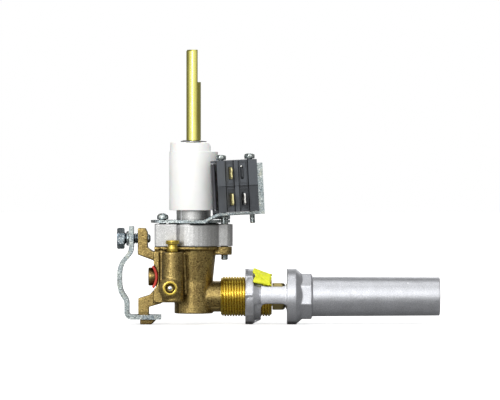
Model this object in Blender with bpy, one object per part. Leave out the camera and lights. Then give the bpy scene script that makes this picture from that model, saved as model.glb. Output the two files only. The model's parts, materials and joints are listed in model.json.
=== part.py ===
"""A gas tap for a cooker or barbecue, clamped to its supply pipe, with ignition switches and a mixing tube.

The frame: the origin is on the supply pipe's axis, in the plane of the spindle. +Z is up along the spindle, +X
is along the mixing tube, away from the pipe, and Y is along the pipe. Lengths in this file are in millimetres
and angles in degrees; new_object() turns them into Blender's metres.
"""

import math

import bmesh
import bpy
from mathutils import Matrix, Vector

MM = 0.001
GAP = 0.3  # between pieces that touch, because meshes hold 32-bit numbers

# Driving dimensions
PIPE_RADIUS = 8.6  # a 17.2 mm supply pipe
SPINDLE_X = 29.8  # spindle axis from the pipe's axis
SPINDLE_RADIUS = 4.0
SPINDLE_TOP = 124.7
OUTLET_Z = -10.9  # outlet axis below the pipe's axis
OUTLET_RADIUS = 11.0  # M22 x 1.5 thread, left plain
OUTLET_END = 43.0  # from the spindle axis
BODY_BOTTOM = -20.2
DECK_TOP = 16.5  # the body's face that carries the bonnet
BONNET_LOW = DECK_TOP + GAP
BONNET_HIGH = 29.4
BONNET_RADIUS = 14.6
NECK_RADIUS = 9.45
NECK_TOP = 50.0
BONNET_SCREW_X = 17.0  # either side of the spindle
SHEET = 1.5  # bracket's sheet steel
BRACKET_LOW = BONNET_HIGH + GAP
SLEEVE_LOW = 36.6
SLEEVE_STEP = 68.7
SLEEVE_HIGH = 73.7
SLEEVE_RADIUS = 13.4
TUBE_END = 135.3  # from the spindle axis
MIXER_TURN = 5.0  # degrees the tube is screwed past level
MIXER_ARM = 9.4  # width of the arms between its air windows
STRAP = 2.5  # clamp strap's thickness
STRAP_WIDTH = 15.0
CLAMP_SCREW_Z = 21.0
HOOK_Z = -22.2  # where the strap hangs on the lower arm
BYPASS = (-11.3, -17.3)  # bypass screw's axis, from the spindle axis
BALL = (-12.5, -16.5)  # the ball boss starts here, from the spindle axis
BALL_Z = -5.7
SWITCH_YAW = 8.0
SWITCH_PITCH = 2.8
SWITCH_CORNER = (14.0, -21.0, 35.4)  # switch pair's lower left front corner, from the spindle axis
SWITCH_WIDTH = 22.1
SWITCH_DEPTH = 12.0
SWITCH_HEIGHT = 14.0  # of one switch
SWITCH_SCREWS = (3.3, 19.1)  # across the switches
LEVER_PIN = (-1.7, 1.4, 0)  # in the switches' frame
NOSE_ANGLE = math.radians(-25)  # where the lever's nose meets the cam sleeve, round the spindle

ALONG_X = (0, 90, 0)  # turns a piece's own +Z to +X
ALONG_MINUS_Y = (90, 0, 0)  # turns a piece's own +Z to -Y, and its own XY plane upright
SMALL, MEDIUM, LARGE = 16, 24, 36  # sides of round pieces

FINISHES = {  # base colour, metallic, roughness
    "forged_brass": ((0.52, 0.36, 0.14), 1.0, 0.45),
    "machined_brass": ((0.80, 0.62, 0.22), 1.0, 0.25),
    "cast_aluminium": ((0.62, 0.62, 0.63), 1.0, 0.5),
    "zinc_plated_steel": ((0.68, 0.70, 0.69), 1.0, 0.3),
    "spring_steel": ((0.45, 0.45, 0.46), 1.0, 0.35),
    "white_plastic": ((0.86, 0.86, 0.83), 0.0, 0.4),
    "black_plastic": ((0.035, 0.036, 0.04), 0.0, 0.45),
    "red_rubber": ((0.55, 0.05, 0.03), 0.0, 0.6),
    "black_rubber": ((0.02, 0.02, 0.02), 0.0, 0.7),
    "yellow_paint": ((0.85, 0.85, 0.05), 0.0, 0.6),
    "copper": ((0.72, 0.38, 0.22), 1.0, 0.35),
}


# ---------------------------------------------------------------- tools


def clear_scene():
    for obj in list(bpy.data.objects):
        bpy.data.objects.remove(obj)


def make_material(name):
    colour, metallic, roughness = FINISHES[name]
    material = bpy.data.materials.new(name)
    material.use_nodes = True
    shader = material.node_tree.nodes["Principled BSDF"]
    shader.inputs["Base Color"].default_value = (*colour, 1)
    shader.inputs["Metallic"].default_value = metallic
    shader.inputs["Roughness"].default_value = roughness
    return material


def degrees(angles):
    return [math.radians(a) for a in angles]


def frame(name, location, rotation=(0, 0, 0), parent=None):
    """An empty that places the pieces under it."""
    empty = bpy.data.objects.new(name, None)
    bpy.context.scene.collection.objects.link(empty)
    empty.location = Vector(location) * MM
    empty.rotation_euler = degrees(rotation)
    empty.parent = parent
    return empty


def new_object(name, bm, finish=None, location=(0, 0, 0), rotation=(0, 0, 0), parent=None):
    """Makes an object of a mesh in millimetres. One with no finish is a helper for a Boolean."""
    bmesh.ops.scale(bm, vec=(MM, MM, MM), verts=bm.verts)
    bmesh.ops.recalc_face_normals(bm, faces=bm.faces)
    mesh = bpy.data.meshes.new(name)
    bm.to_mesh(mesh)
    bm.free()
    mesh.shade_smooth()
    mesh.set_sharp_from_angle(angle=math.radians(30))
    obj = bpy.data.objects.new(name, mesh)
    bpy.context.scene.collection.objects.link(obj)
    obj.location = Vector(location) * MM
    obj.rotation_euler = degrees(rotation)
    obj.parent = parent
    if finish:
        mesh.materials.append(MATERIALS[finish])
    else:
        obj.hide_render = True
        obj.display_type = "WIRE"
    return obj


def turned(profile, sides=MEDIUM, start=0.0, sweep=360.0):
    """A solid turned about +Z from a closed profile of (radius, height). A part turn gets flat ends."""
    bm = bmesh.new()
    full = sweep >= 360
    steps = sides if full else max(2, round(sides * sweep / 360))
    turns = [math.radians(start + sweep * i / steps) for i in range(steps if full else steps + 1)]
    rings = []
    for radius, height in profile:
        if radius == 0:
            rings.append([bm.verts.new((0, 0, height))] * len(turns))
        else:
            rings.append([bm.verts.new((radius * math.cos(a), radius * math.sin(a), height)) for a in turns])
    heights = [height for _, height in profile]
    for ring, after, height, next_height in zip(
        rings, rings[1:] + rings[:1], heights, heights[1:] + heights[:1]
    ):
        flat_end = height == next_height and (ring[0] is ring[-1] or after[0] is after[-1])
        if flat_end and full:
            bm.faces.new(after if ring[0] is ring[-1] else ring)
            continue
        for i in range(steps):
            j = (i + 1) % len(turns)
            corners = list(dict.fromkeys([ring[i], ring[j], after[j], after[i]]))
            if len(corners) > 2:
                bm.faces.new(corners)
    if not full:
        for i in (0, -1):
            bm.faces.new([ring[i] for ring in rings])
    bmesh.ops.delete(bm, geom=[v for v in bm.verts if not v.link_faces], context="VERTS")
    return bm


def extruded(outline, low, high):
    """A solid of an outline of (x, y) points, from height low to high."""
    bm = bmesh.new()
    face = bm.faces.new([bm.verts.new((x, y, low)) for x, y in outline])
    moved = bmesh.ops.extrude_face_region(bm, geom=[face])["geom"]
    top = [v for v in moved if isinstance(v, bmesh.types.BMVert)]
    bmesh.ops.translate(bm, verts=top, vec=(0, 0, high - low))
    return bm


def boxed(low, high):
    (x0, y0, z0), (x1, y1, z1) = low, high
    return extruded([(x0, y0), (x1, y0), (x1, y1), (x0, y1)], z0, z1)


def hulled(points):
    bm = bmesh.new()
    for point in points:
        bm.verts.new(point)
    found = bmesh.ops.convex_hull(bm, input=bm.verts)
    inside = {v for v in found["geom_interior"] + found["geom_unused"] if isinstance(v, bmesh.types.BMVert)}
    bmesh.ops.delete(bm, geom=list(inside), context="VERTS")
    return bm


def circle(centre, radius, sides=SMALL, start=0.0, sweep=360.0):
    """Points along a circle or, with a sweep under 360, an arc with both its ends."""
    steps = sides if sweep >= 360 else max(2, round(sides * abs(sweep) / 360))
    count = steps if sweep >= 360 else steps + 1
    turns = [math.radians(start + sweep * i / steps) for i in range(count)]
    return [(centre[0] + radius * math.cos(a), centre[1] + radius * math.sin(a)) for a in turns]


def outer_outline(points):
    """The convex outline round points in a plane, in order."""
    points = sorted(set(points))

    def half(row):
        kept = []
        for x, y in row:
            while len(kept) > 1:
                (ax, ay), (bx, by) = kept[-2:]
                if (bx - ax) * (y - ay) - (by - ay) * (x - ax) > 1e-9:
                    break
                kept.pop()
            kept.append((x, y))
        return kept[:-1]

    return half(points) + half(points[::-1])


def cylinder(radius, low, high, sides=MEDIUM, hole=0.0):
    return turned([(hole, low), (radius, low), (radius, high), (hole, high)], sides)


def coil(radius, wire, low, high, turns, sides=6, steps=14):
    """A compression spring about +Z between two heights, with flat-cut ends."""
    bm = bmesh.new()
    rings = []
    count = round(turns * steps)
    for i in range(count + 1):
        angle = 2 * math.pi * i / steps
        height = low + wire + (high - low - 2 * wire) * i / count
        ring = []
        for k in range(sides):
            turn = 2 * math.pi * k / sides
            out = radius + wire * math.cos(turn)
            ring.append(
                bm.verts.new((out * math.cos(angle), out * math.sin(angle), height + wire * math.sin(turn)))
            )
        rings.append(ring)
    for ring, after in zip(rings, rings[1:]):
        for k in range(sides):
            j = (k + 1) % sides
            bm.faces.new([ring[k], ring[j], after[j], after[k]])
    bm.faces.new(rings[0])
    bm.faces.new(rings[-1])
    return bm


def ring_seal(radius, section, height, sides=MEDIUM, around=8):
    """An O-ring about +Z, its section's centre at a radius and a height."""
    turns = [2 * math.pi * k / around for k in range(around)]
    profile = [(radius + section * math.cos(a), height + section * math.sin(a)) for a in turns]
    return turned(profile, sides)


def boolean(target, operation, helpers):
    for helper in helpers:
        modifier = target.modifiers.new(f"{operation.lower()} {helper.name}", "BOOLEAN")
        modifier.operation = operation
        modifier.solver = "EXACT"
        modifier.object = helper


def join(target, *helpers):
    boolean(target, "UNION", helpers)


def cut(target, *helpers):
    boolean(target, "DIFFERENCE", helpers)


# ---------------------------------------------------------------- tap body


def make_body(valve, outlet):
    """The forged brass body: barrel, pipe saddle with two clamp arms, bypass boss and threaded outlet."""
    pipe_from_valve = -SPINDLE_X
    saddle_radius = PIPE_RADIUS + 2.1  # leaves room for the gasket
    barrel = [
        (0, BODY_BOTTOM), (10.6, BODY_BOTTOM), (10.6, -2.5), (12.3, 14.0), (12.3, DECK_TOP), (0, DECK_TOP)
    ]
    body = new_object("tap_body", turned(barrel, LARGE), "forged_brass", parent=valve)

    deck = outer_outline(
        circle((0, 0), 14.2, LARGE)
        + [(-21.4, -12.6), (-21.4, 5), (-8, 8)]
        + circle((-BONNET_SCREW_X, 0), 4.2)
    )
    lug = outer_outline(circle((BONNET_SCREW_X, 0), 4.1) + [(10, -4.1), (10, 4.1)])
    left_lug = outer_outline(circle((-BONNET_SCREW_X, 0), 4.1) + [(-10, -6), (-10, 6)])
    block = boxed((-21.8, -12.0, -13.9), (-6.2, 9.0, 13.8))
    block_top = boxed((-21.2, -11.5, 13.0), (-6.2, 8.0, 15.1))
    bypass_boss = cylinder(5.9, -13.0, 13.8)
    ball_boss = turned([(0, 0), (5.3, 0), (5.3, 4.6), (3.7, 8.0), (0, 8.0)])
    outlet_boss = [
        (0, 2), (8.5, 2), (8.5, 15.2), (9.6, 15.2), (11.0, 16.6), (11.0, OUTLET_END - 1), (10, OUTLET_END)
    ]
    spigot = cylinder(5.05, 4.9, 16.0)
    upper_arm = [
        (-0.8, 12.2), (7.0, 9.3), (13, 7), (13, 14.0), (7.5, 14.0), (4.6, 16.2), (4.6, 24.2), (3.4, 26.7)
    ]
    upper_arm.append((-0.8, 26.7))
    lower_arm = [
        (-0.6, -20.6), (0.4, -21.6), (0.4, -26.2), (6.7, -26.2), (9.3, -23.7), (5.3, -23.7), (5.3, -16.6)
    ]
    lower_arm += [(11.7, -14.8), (14, -13.4), (20, -13.4), (13, -6), (7.4, -7.9), (5.6, -10.0), (-0.6, -11.9)]
    join(
        body,
        new_object("body deck", extruded(deck, 14.9, DECK_TOP), parent=valve),
        new_object("body right lug", extruded(lug, 12.0, DECK_TOP), parent=valve),
        new_object("body left lug", extruded(left_lug, 10.0, DECK_TOP), parent=valve),
        new_object("body block", block, parent=valve),
        new_object("body block top", block_top, parent=valve),
        new_object("body bypass boss", bypass_boss, location=(*BYPASS, 0), parent=valve),
        new_object(
            "body ball boss", ball_boss, location=(*BALL, BALL_Z), rotation=ALONG_MINUS_Y, parent=valve
        ),
        new_object("body outlet", turned([*outlet_boss, (0, OUTLET_END)], LARGE), parent=outlet),
    )
    saddle = cylinder(saddle_radius, -30, 30, 48)
    cut(
        body,
        new_object(
            "body saddle", saddle, location=(pipe_from_valve, 0, 0), rotation=ALONG_MINUS_Y, parent=valve
        ),
    )
    join(
        body,
        new_object("body spigot", spigot, rotation=ALONG_X),
        new_object("body upper arm", extruded(upper_arm, -6.5, 6.5), rotation=ALONG_MINUS_Y),
        new_object("body lower arm", extruded(lower_arm, -4.8, 4.8), rotation=ALONG_MINUS_Y),
    )

    plug_bore = turned([(0, -2.1), (6.9, -2.1), (8.9, DECK_TOP + 1), (0, DECK_TOP + 1)], LARGE)
    magnet_bore = [
        (0, BODY_BOTTOM - 1), (8.8, BODY_BOTTOM - 1), (8.8, -17.4), (8.0, -17.4), (8.0, -3.9), (0, -3.9)
    ]
    clamp_hole = cylinder(3.0 + GAP, -5, 10)
    ball_hole = cylinder(2.0 + GAP, 2.6, 12, SMALL)
    cut(
        body,
        new_object("body plug bore", plug_bore, parent=valve),
        new_object("body magnet bore", turned(magnet_bore, LARGE), parent=valve),
        new_object("body seat hole", cylinder(3.2, -6, 0), parent=valve),
        new_object("body outlet bore", cylinder(5.0, 5, OUTLET_END + 1), parent=outlet),
        new_object("body inlet bore", cylinder(2.6, 0, SPINDLE_X), rotation=ALONG_X),
        new_object("body bypass hole", cylinder(2.4 + GAP, 0, 20), location=(*BYPASS, 0), parent=valve),
        new_object(
            "body ball hole", ball_hole, location=(*BALL, BALL_Z), rotation=ALONG_MINUS_Y, parent=valve
        ),
        new_object("body clamp hole", clamp_hole, location=(0, 0, CLAMP_SCREW_Z), rotation=ALONG_X),
    )
    for side in (-1, 1):
        hole = cylinder(2.0 + GAP, 8.9, 20, SMALL)
        cut(
            body,
            new_object(f"body screw hole {side}", hole, location=(side * BONNET_SCREW_X, 0, 0), parent=valve),
        )

    ball = bmesh.new()
    bmesh.ops.create_uvsphere(ball, u_segments=SMALL, v_segments=10, radius=2.0)
    new_object("ball_plug", ball, "spring_steel", location=(BALL[0], -22.0, BALL_Z), parent=valve)

    gasket = new_object(
        "inlet_gasket",
        turned([(8.7, -8), (saddle_radius - GAP, -8), (saddle_radius - GAP, 8), (8.7, 8)], 48, -38, 76),
        "red_rubber",
        rotation=ALONG_MINUS_Y,
    )
    cut(gasket, new_object("gasket hole", cylinder(5.05 + GAP, 0, 20), rotation=ALONG_X))


# ---------------------------------------------------------------- bonnet and bracket


def make_bonnet(valve):
    """The cast bonnet over the plug, its neck round the spindle, its two screws and the spindle's seal."""
    outside = [(0, BONNET_LOW), (BONNET_RADIUS, BONNET_LOW), (BONNET_RADIUS, 28.4), (13.6, BONNET_HIGH)]
    outside += [(NECK_RADIUS, BONNET_HIGH), (NECK_RADIUS, NECK_TOP), (0, NECK_TOP)]
    bonnet = new_object("bonnet", turned(outside, LARGE), "cast_aluminium", parent=valve)
    right = outer_outline(circle((BONNET_SCREW_X, 0), 4.5) + [(8, -6), (8, 6)])
    left = outer_outline(
        circle((-BONNET_SCREW_X, 0), 4.5) + [(-8, 6), (-8.9, -13.2), (-20.2, -13.2), (-21.2, -12.2)]
    )
    inside = [
        (0, 10), (10, 10), (10, 27), (4.3, 27), (4.3, 44.9), (6, 44.9), (6, 46.9), (4.3, 46.9), (4.3, 60),
        (0, 60),
    ]
    join(
        bonnet,
        new_object("bonnet right boss", extruded(right, BONNET_LOW, BONNET_HIGH - 0.4), parent=valve),
        new_object("bonnet left wing", extruded(left, BONNET_LOW, BONNET_HIGH - 0.4), parent=valve),
    )
    cut(bonnet, new_object("bonnet inside", turned(inside, LARGE), parent=valve))
    for side, name in ((-1, "left"), (1, "right")):
        at = (side * BONNET_SCREW_X, 0, 0)
        cut(
            bonnet,
            new_object(
                f"bonnet screw hole {name}", cylinder(2.0 + GAP, 10, 35, SMALL), location=at, parent=valve
            ),
        )
        seat = BRACKET_LOW + SHEET + GAP
        screw = [(0, 9.2), (1.6, 9.2), (2, 9.7), (2, seat), (3.1, seat), (3.1, seat + 2.2), (2.3, seat + 3.1)]
        screw.append((0, seat + 3.3))
        new_object(
            f"bonnet_screw_{name}", turned(screw, SMALL), "zinc_plated_steel", location=at, parent=valve
        )
    new_object("spindle_seal", ring_seal(5.0, 0.7, 45.9), "black_rubber", parent=valve)


def make_bracket(valve, switches):
    """The sheet steel bracket: a plate under the bonnet's screws, a ramp, a shelf and an upstand."""
    top = BRACKET_LOW + SHEET
    outline = outer_outline(circle((-BONNET_SCREW_X, 0), 6.6, MEDIUM) + circle((-17.5, -7.0), 5.0, MEDIUM))
    outline = outer_outline(
        outline + [(-12, 11.5), (0, 12.5), (14, 9.0)] + circle((15.5, -1), 4.6) + [(8, -13), (0, -13)]
    )
    bracket = new_object(
        "switch_bracket", extruded(outline, BRACKET_LOW, top), "zinc_plated_steel", parent=valve
    )
    front, back = -19.6, -12.6
    tongue = boxed((-2, front, BRACKET_LOW), (6.8, back, top))
    inside, outside = SWITCH_WIDTH + GAP, SWITCH_WIDTH + GAP + SHEET
    lip, front_edge, back_edge = 1.5, 0.9, 8.2  # the upstand's front edge is turned outwards into a lip
    shelf = extruded(
        [(-0.5, front_edge), (inside + 0.4, front_edge), (inside + 0.4, back_edge), (-0.5, back_edge)],
        -GAP - SHEET,
        -GAP,
    )
    upstand = extruded(
        [
            (inside, front_edge), (outside + lip, front_edge), (outside + lip, front_edge + SHEET),
            (outside, front_edge + SHEET), (outside, back_edge), (inside, back_edge),
        ],
        -GAP - SHEET,
        26.2,
    )
    # The ramp runs from the tongue's right end to the shelf's left end, known in the shelf's frame.
    to_valve = Matrix.Translation(SWITCH_CORNER) @ switch_rotation().to_4x4()
    inset = 0.1
    shelf_faces = (-GAP - SHEET + inset, -GAP - inset)
    tongue_faces = (BRACKET_LOW + inset, top - inset)
    shelf_end = [to_valve @ Vector((u, v, w)) for u in (-0.3, 1.2) for v in (1.0, 6.8) for w in shelf_faces]
    tongue_end = [
        Vector((x, y, z)) for x in (5.4, 6.7) for y in (front + inset, back - inset) for z in tongue_faces
    ]
    join(
        bracket,
        new_object("bracket tongue", tongue, parent=valve),
        new_object("bracket shelf", shelf, parent=switches),
        new_object("bracket upstand", upstand, parent=switches),
        new_object("bracket ramp", hulled(shelf_end + tongue_end), parent=valve),
    )
    cut(bracket, new_object("bracket neck hole", cylinder(NECK_RADIUS + GAP, 25, 35, LARGE), parent=valve))
    for side in (-1, 1):
        hole = cylinder(2.0 + GAP, 25, 35, SMALL)
        at = (side * BONNET_SCREW_X, 0, 0)
        cut(bracket, new_object(f"bracket screw hole {side}", hole, location=at, parent=valve))
    for u in SWITCH_SCREWS:
        hole = cylinder(1.5 + GAP, -4, 2, SMALL)
        cut(bracket, new_object(f"bracket switch hole {u}", hole, location=(u, 5.5, 0), parent=switches))


# ---------------------------------------------------------------- spindle, plug and safety valve


def make_spindle(valve):
    """The D-ended spindle with its stop collar and tongue, the cam sleeve, its clip and the push rod."""
    round_part = [(0, 12), (3, 12), (3, 24.7), (6.5, 24.7), (6.5, 26.7), (SPINDLE_RADIUS, 26.7)]
    round_part += [(SPINDLE_RADIUS, SPINDLE_TOP - 0.8), (SPINDLE_RADIUS - 0.6, SPINDLE_TOP), (0, SPINDLE_TOP)]
    spindle = new_object("spindle", turned(round_part, MEDIUM), "machined_brass", parent=valve)
    join(spindle, new_object("spindle tongue", boxed((-2.6, -1.3, 9.0), (2.6, 1.3, 13.0)), parent=valve))
    cut(spindle, new_object("spindle flat", boxed((2.2, -6, 106.9), (8, 6, 130)), parent=valve))
    new_object("push_rod", cylinder(1.1, -1.8, 8.7, SMALL), "spring_steel", parent=valve)

    outside = [
        (SLEEVE_RADIUS, SLEEVE_LOW), (SLEEVE_RADIUS, SLEEVE_STEP), (12.9, SLEEVE_STEP), (12.9, SLEEVE_HIGH)
    ]
    inside = [(4.3, SLEEVE_HIGH), (4.3, 66), (11, 66), (11, SLEEVE_LOW)]
    sleeve = new_object("cam_sleeve", turned(outside + inside, LARGE), "white_plastic", parent=valve)
    relief = [
        (9.3, SLEEVE_STEP), (9.3, SLEEVE_HIGH - 1.6), (7.3, SLEEVE_HIGH + 0.4), (7.3, 80), (20, 80),
        (20, SLEEVE_STEP),
    ]
    cut(sleeve, new_object("sleeve relief", extruded(relief, -20, 20), rotation=ALONG_MINUS_Y, parent=valve))
    clip = turned([(4.3, 74.0), (7.1, 74.0), (7.1, 74.5), (5.2, 75.0), (4.3, 75.0)], MEDIUM)
    new_object("spindle_clip", clip, "spring_steel", parent=valve)


def make_plug(valve):
    """The tapered plug that turns in the body, with its port and driving slot, and the spring above it."""
    shape = [(0, -1.8), (6.6, -1.8), (8.2, 13.0), (0, 13.0)]
    plug = new_object("plug_cone", turned(shape, LARGE), "machined_brass", parent=valve)
    cut(
        plug,
        new_object("plug hollow", cylinder(3.2, -4, 3.0), parent=valve),
        new_object("plug rod hole", cylinder(1.5, 2, 6, SMALL), parent=valve),
        new_object("plug slot", boxed((-2.9, -1.6, 4.0), (2.9, 1.6, 15)), parent=valve),
        new_object("plug spindle hole", cylinder(3.6, 7.2, 15), parent=valve),
        new_object(
            "plug port",
            cylinder(2.0, 0, 10, SMALL),
            location=(0, 0, 0.4),
            rotation=ALONG_MINUS_Y,
            parent=valve,
        ),
    )
    new_object("plug_spring", coil(4.9, 0.5, 13.3, 24.4, 4.5), "spring_steel", parent=valve)


def make_safety_valve(valve):
    """The flame failure valve in the body's foot: a sprung disc, its holding magnet and the magnet's base."""
    can_top = -9.6
    new_object("valve_seal", cylinder(4.6, -5.4, -4.2, MEDIUM), "black_rubber", parent=valve)
    stem = [
        (0, -11.9), (4.2, -11.9), (4.2, -10.9), (1.0, -10.9), (1.0, -6.7), (4.9, -6.7), (4.9, -5.7), (0, -5.7)
    ]
    new_object("valve_disc", turned(stem), "spring_steel", parent=valve)
    new_object(
        "valve_spring", coil(2.3, 0.35, can_top + GAP, -7.0, 2.5, steps=12), "spring_steel", parent=valve
    )
    can = [
        (1.3, can_top - 0.6), (1.3, can_top), (6.0, can_top), (6.0, -17.0), (5.4, -17.0), (5.4, can_top - 0.6)
    ]
    new_object("magnet_can", turned(can), "machined_brass", parent=valve)
    core = extruded(
        [
            (-3.4, -17), (3.4, -17), (3.4, -14.8), (1.4, -14.8), (1.4, -16), (-1.4, -16), (-1.4, -14.8),
            (-3.4, -14.8),
        ],
        -2,
        2,
    )
    new_object("magnet_core", core, "spring_steel", rotation=ALONG_MINUS_Y, parent=valve)
    coil_box = boxed((-1.1, -2.2, -15.7), (1.1, 2.2, -14.9))
    new_object("magnet_coil", coil_box, "copper", parent=valve)
    base = [
        (2.6, BODY_BOTTOM + 0.4), (8.5, BODY_BOTTOM + 0.4), (8.5, -17.7), (6.2, -17.7), (6.2, -17.3),
        (0, -17.3),
    ]
    base += [(0, -18.2), (2.6, -18.2)]
    new_object("magnet_base", turned(base), "machined_brass", parent=valve)
    new_object("contact_insulator", cylinder(1.6, -19.3, -18.5, SMALL, 0.9), "black_plastic", parent=valve)


def make_bypass(valve):
    """The low-flame adjusting screw in its boss, with the O-ring that it carries."""
    low = 5.0
    profile = [
        (0, low), (1.2, low), (2.4, low + 2), (2.4, 14.1), (3.0, 14.1), (3.0, 17.0), (2.6, 17.0), (2.6, 18.2)
    ]
    profile += [(3.7, 18.2), (3.7, 20.4), (0, 20.4)]
    screw = new_object("bypass_screw", turned(profile), "machined_brass", location=(*BYPASS, 0), parent=valve)
    slot = new_object(
        "bypass slot", boxed((-5, -0.5, 18.9), (5, 0.5, 22)), location=(*BYPASS, 0), parent=valve
    )
    cut(screw, slot)
    groove = new_object(
        "bypass groove", cylinder(5, 8.0, 9.4, MEDIUM, 1.3), location=(*BYPASS, 0), parent=valve
    )
    cut(screw, groove)
    new_object("bypass_oring", ring_seal(2.0, 0.38, 8.7), "black_rubber", location=(*BYPASS, 0), parent=valve)


# ---------------------------------------------------------------- outlet


def make_outlet(outlet):
    """The injector on the outlet's end and the cast mixing tube round it. Heights run along the outlet."""
    hexagon = turned([(0, 43.3), (8.4, 43.3), (8.4, 48.9), (0, 48.9)], 6, 15)
    injector = new_object("injector", hexagon, "machined_brass", parent=outlet)
    tail = [(0, 36), (4.4, 36), (4.4, 44), (0, 44)]
    nose = [(0, 48.5), (6.6, 48.5), (6.6, 49.9), (3.6, 52.0), (0, 52.0)]
    join(
        injector,
        new_object("injector tail", turned(tail), parent=outlet),
        new_object("injector nose", turned(nose), parent=outlet),
    )
    cut(injector, new_object("injector jet", cylinder(0.9, 30, 60, 12), parent=outlet))

    outside = [
        (14.4, 28.6), (15.0, 30.0), (15.0, 32.6), (12.8, 37.0), (14.5, 37.0), (14.5, 51.3), (15.4, 51.3)
    ]
    outside += [(15.4, 56.2), (15.0, 56.6), (12.3, 59.8), (12.2, 64.9), (11.0, 65.1), (10.6, TUBE_END)]
    inside = [
        (9.0, TUBE_END), (9.3, 64), (7.6, 56), (7.6, 53.6), (12.0, 51.3), (12.0, 37.3),
        (OUTLET_RADIUS + GAP, 37.0),
    ]
    inside += [(OUTLET_RADIUS + GAP, 28.6)]
    mixer = new_object("mixer_tube", turned(outside + inside, LARGE), "cast_aluminium", parent=outlet)
    grip = turned([(15.4, 28.4), (15.4, 32.5), (13.5, 32.5), (13.5, 28.4)], 8, -MIXER_TURN)
    spanner = turned([(13.3, 58.2), (13.3, 64.8), (11.0, 64.8), (11.0, 58.2)], 8, 22.5 - MIXER_TURN)
    join(
        mixer,
        new_object("mixer grip", grip, parent=outlet),
        new_object("mixer spanner flats", spanner, parent=outlet),
    )
    # Two air windows leave one arm in front and one behind. The outlet's own X points down.
    for side, name in ((-1, "upper"), (1, "lower")):
        near, far = sorted((MIXER_ARM / 2 * side, 20 * side))
        window = boxed((near, -20, 37.0), (far, 20, 51.3))
        turn = (0, 0, -MIXER_TURN)
        cut(mixer, new_object(f"mixer {name} window", window, rotation=turn, parent=outlet))

    paint = [(15.7, 32.9), (15.9, 33.8), (14.2, 37.6), (12.3, 42.4), (11.4, 42.4), (11.4, 37.4), (13.2, 37.4)]
    new_object("locking_paint", turned(paint, LARGE, 192, 46), "yellow_paint", parent=outlet)


# ---------------------------------------------------------------- pipe clamp


def offset_band(line, thickness):
    """The outline of a band of even thickness whose right side, going along the line, is the line itself."""
    left = []
    for i, point in enumerate(line):
        before = Vector(line[max(i - 1, 0)])
        after = Vector(line[min(i + 1, len(line) - 1)])
        here = Vector(point)
        first = (here - before).normalized() if i else (after - here).normalized()
        last = (after - here).normalized() if i < len(line) - 1 else first
        normal = Vector((-(first + last).y, (first + last).x)).normalized()
        stretch = 1 / max(0.4, normal.dot(Vector((-first.y, first.x))))
        side = here + normal * thickness * stretch
        left.append((side.x, side.y))
    return line + left[::-1]


def make_clamp():
    """The strap that holds the body to the pipe: hung on the lower arm, drawn in by the screw above."""
    # The strap's inner face, from its foot's free end to its top.
    inner = [
        (11.9, -20.9), (-4.8, -20.9), (-5.6, -20.1), (-5.6, -12.6), (-8.9, -7.8), (-9.6, -4.4), (-9.6, 3.2)
    ]
    inner += [(-8.4, 7.0), (-3.9, 12.4), (-3.1, 15.2), (-3.1, 27.6)]
    outline = [(x, z - HOOK_Z) for x, z in offset_band(inner[::-1], -STRAP)]
    half = STRAP_WIDTH / 2
    hook = frame("clamp hook", (0, 0, HOOK_Z))
    strap = new_object(
        "clamp_strap",
        extruded(outline, -half, half),
        "zinc_plated_steel",
        rotation=ALONG_MINUS_Y,
        parent=hook,
    )
    slot = boxed((-1.2, -5.3, -5), (5.8, 5.3, 5))
    hole = cylinder(3.6, -10, 5)
    cut(
        strap,
        new_object("strap slot", slot, parent=hook),
        new_object(
            "strap hole", hole, location=(0, 0, CLAMP_SCREW_Z - HOOK_Z), rotation=ALONG_X, parent=hook
        ),
    )
    at = (0, 0, CLAMP_SCREW_Z)
    screw = turned([(0, -9), (2.9, -9), (2.9, 4.6), (2.5, 5.6), (0, 6.2)], SMALL)
    screw = new_object("clamp_screw", screw, "zinc_plated_steel", location=at, rotation=ALONG_X)
    head = turned([(0, -12.3), (5.2, -12.3), (5.77, -11.9), (5.77, -8.2), (0, -8.2)], 6)
    join(screw, new_object("clamp screw head", head, location=at, rotation=ALONG_X))
    collar = turned([(3.2, -7.2), (3.8, -7.2), (4.2, -6.0), (3.2, -6.0)], MEDIUM)
    new_object("clamp_collar", collar, "zinc_plated_steel", location=at, rotation=ALONG_X)


# ---------------------------------------------------------------- switches


def switch_rotation():
    """The switches lean back a little to the left and face a little to the right."""
    yaw = Matrix.Rotation(math.radians(SWITCH_YAW), 3, "Z")
    return yaw @ Matrix.Rotation(math.radians(-SWITCH_PITCH), 3, "Y")


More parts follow.
